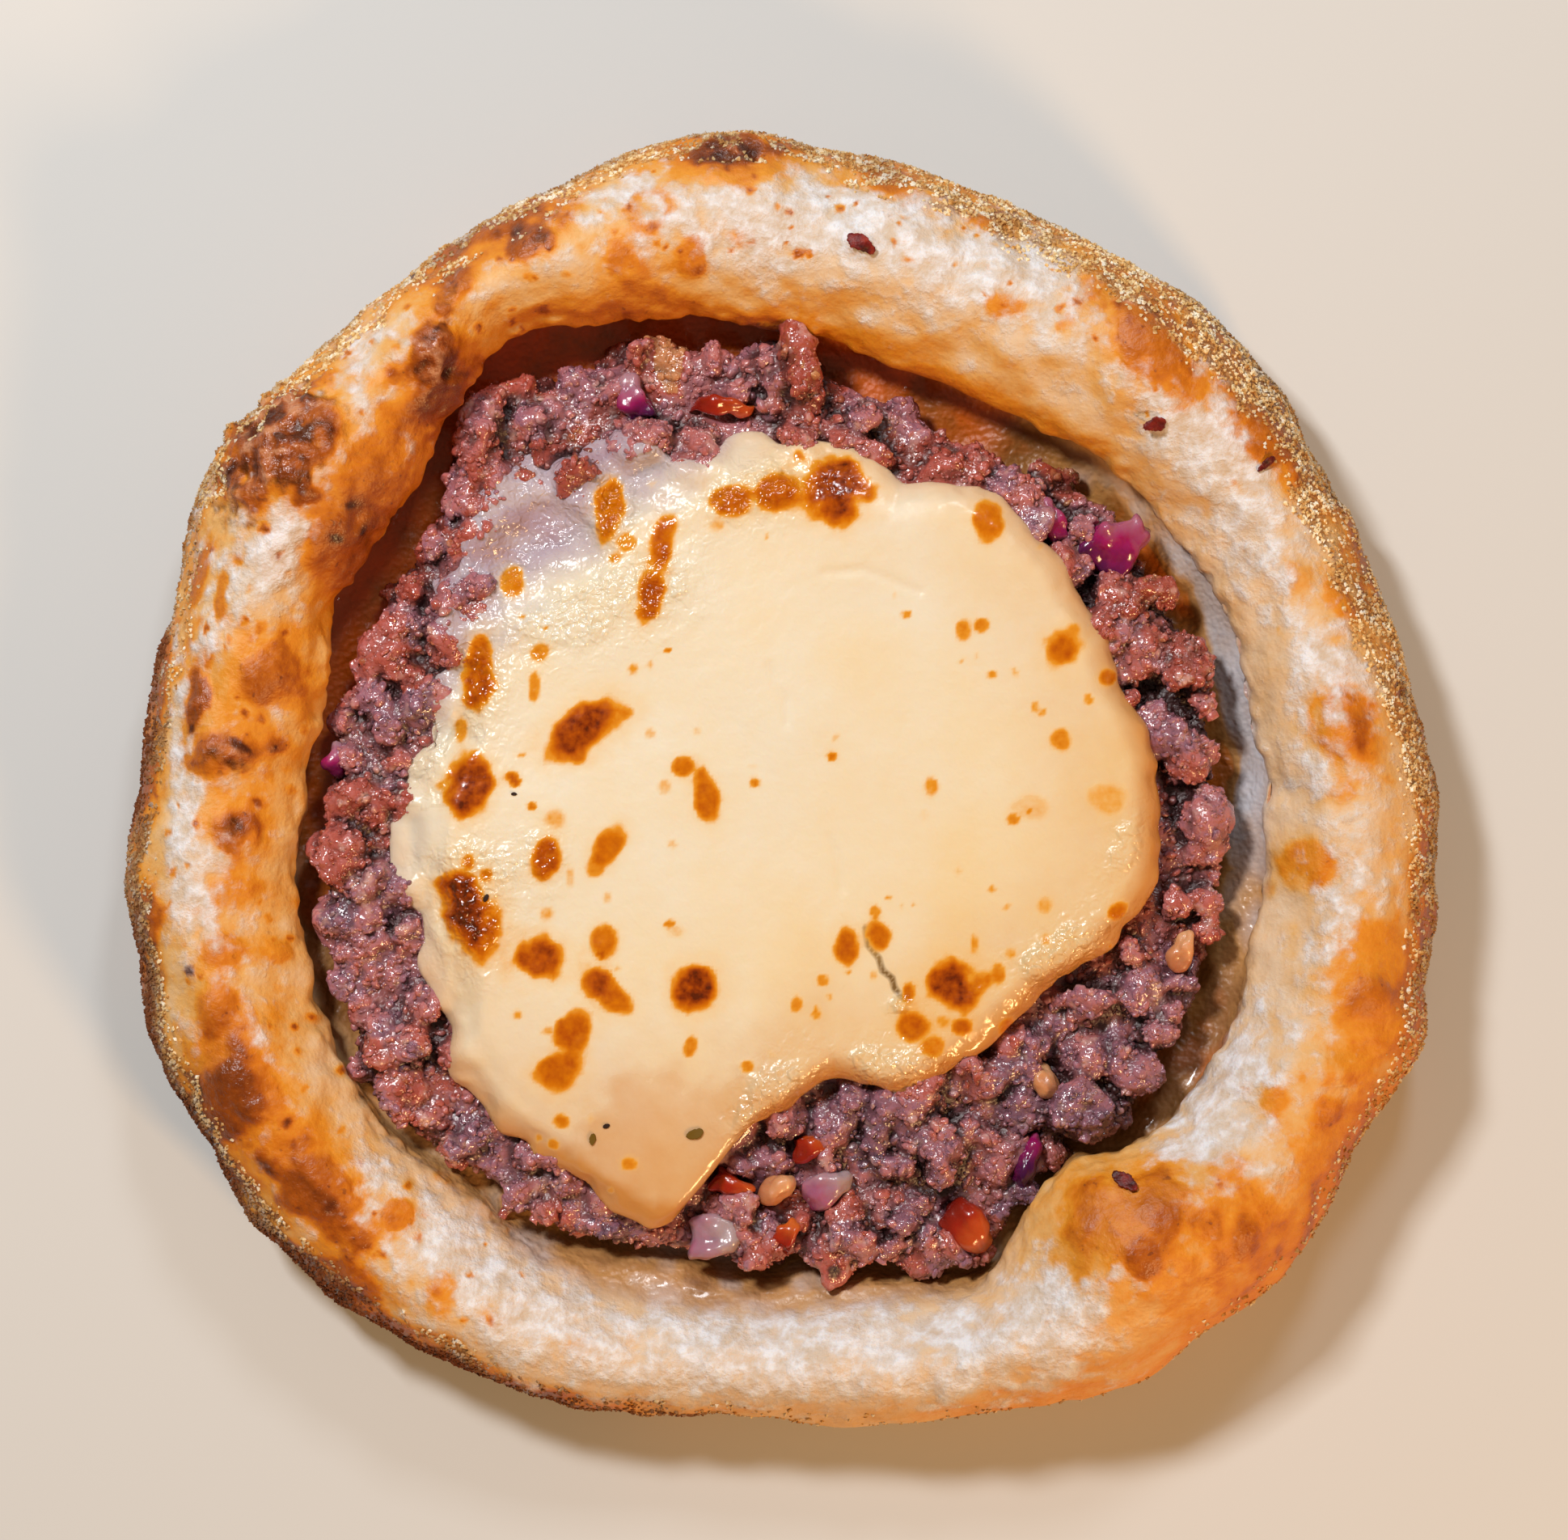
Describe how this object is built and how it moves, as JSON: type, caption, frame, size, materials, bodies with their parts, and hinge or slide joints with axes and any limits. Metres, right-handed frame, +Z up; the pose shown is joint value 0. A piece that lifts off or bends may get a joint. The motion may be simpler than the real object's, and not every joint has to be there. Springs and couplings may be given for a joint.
{
  "type": "sfiha",
  "caption": "Open-faced flatbread with a puffed, blistered rim round a flat floor that holds a heap of minced meat under a sheet of melted cheese.",
  "frame": {"origin": "under the middle of the bread, on the surface that its flat base rests on", "axes": "+Z up through the bread, towards the cheese; +X towards the wide side of the rim, +Y towards the dark patch at the top of the rim"},
  "size_m": [0.1212, 0.1192, 0.0205],
  "materials": {
    "dough": "baked wheat dough, floury on top, browned and scorched in blisters, gritty with semolina outside",
    "mince": "cooked minced meat, crumbly and moist",
    "cheese": "melted white cheese, smooth and oily, with browned spots",
    "onion": "diced red onion, softened, translucent",
    "tomato": "diced tomato, cooked, moist",
    "kernel": "pale chopped kernel, moist"
  },
  "bodies": {
    "root": {"crust": "dough", "meat": "mince", "cheese": "cheese", "onion_1": "onion", "onion_2": "onion", "onion_3": "onion", "onion_4": "onion", "onion_5": "onion", "onion_6": "onion", "onion_7": "onion", "tomato_1": "tomato", "tomato_2": "tomato", "tomato_3": "tomato", "tomato_4": "tomato", "tomato_5": "tomato", "kernel_1": "kernel", "kernel_2": "kernel", "kernel_3": "kernel"}
  },
  "joints": []
}
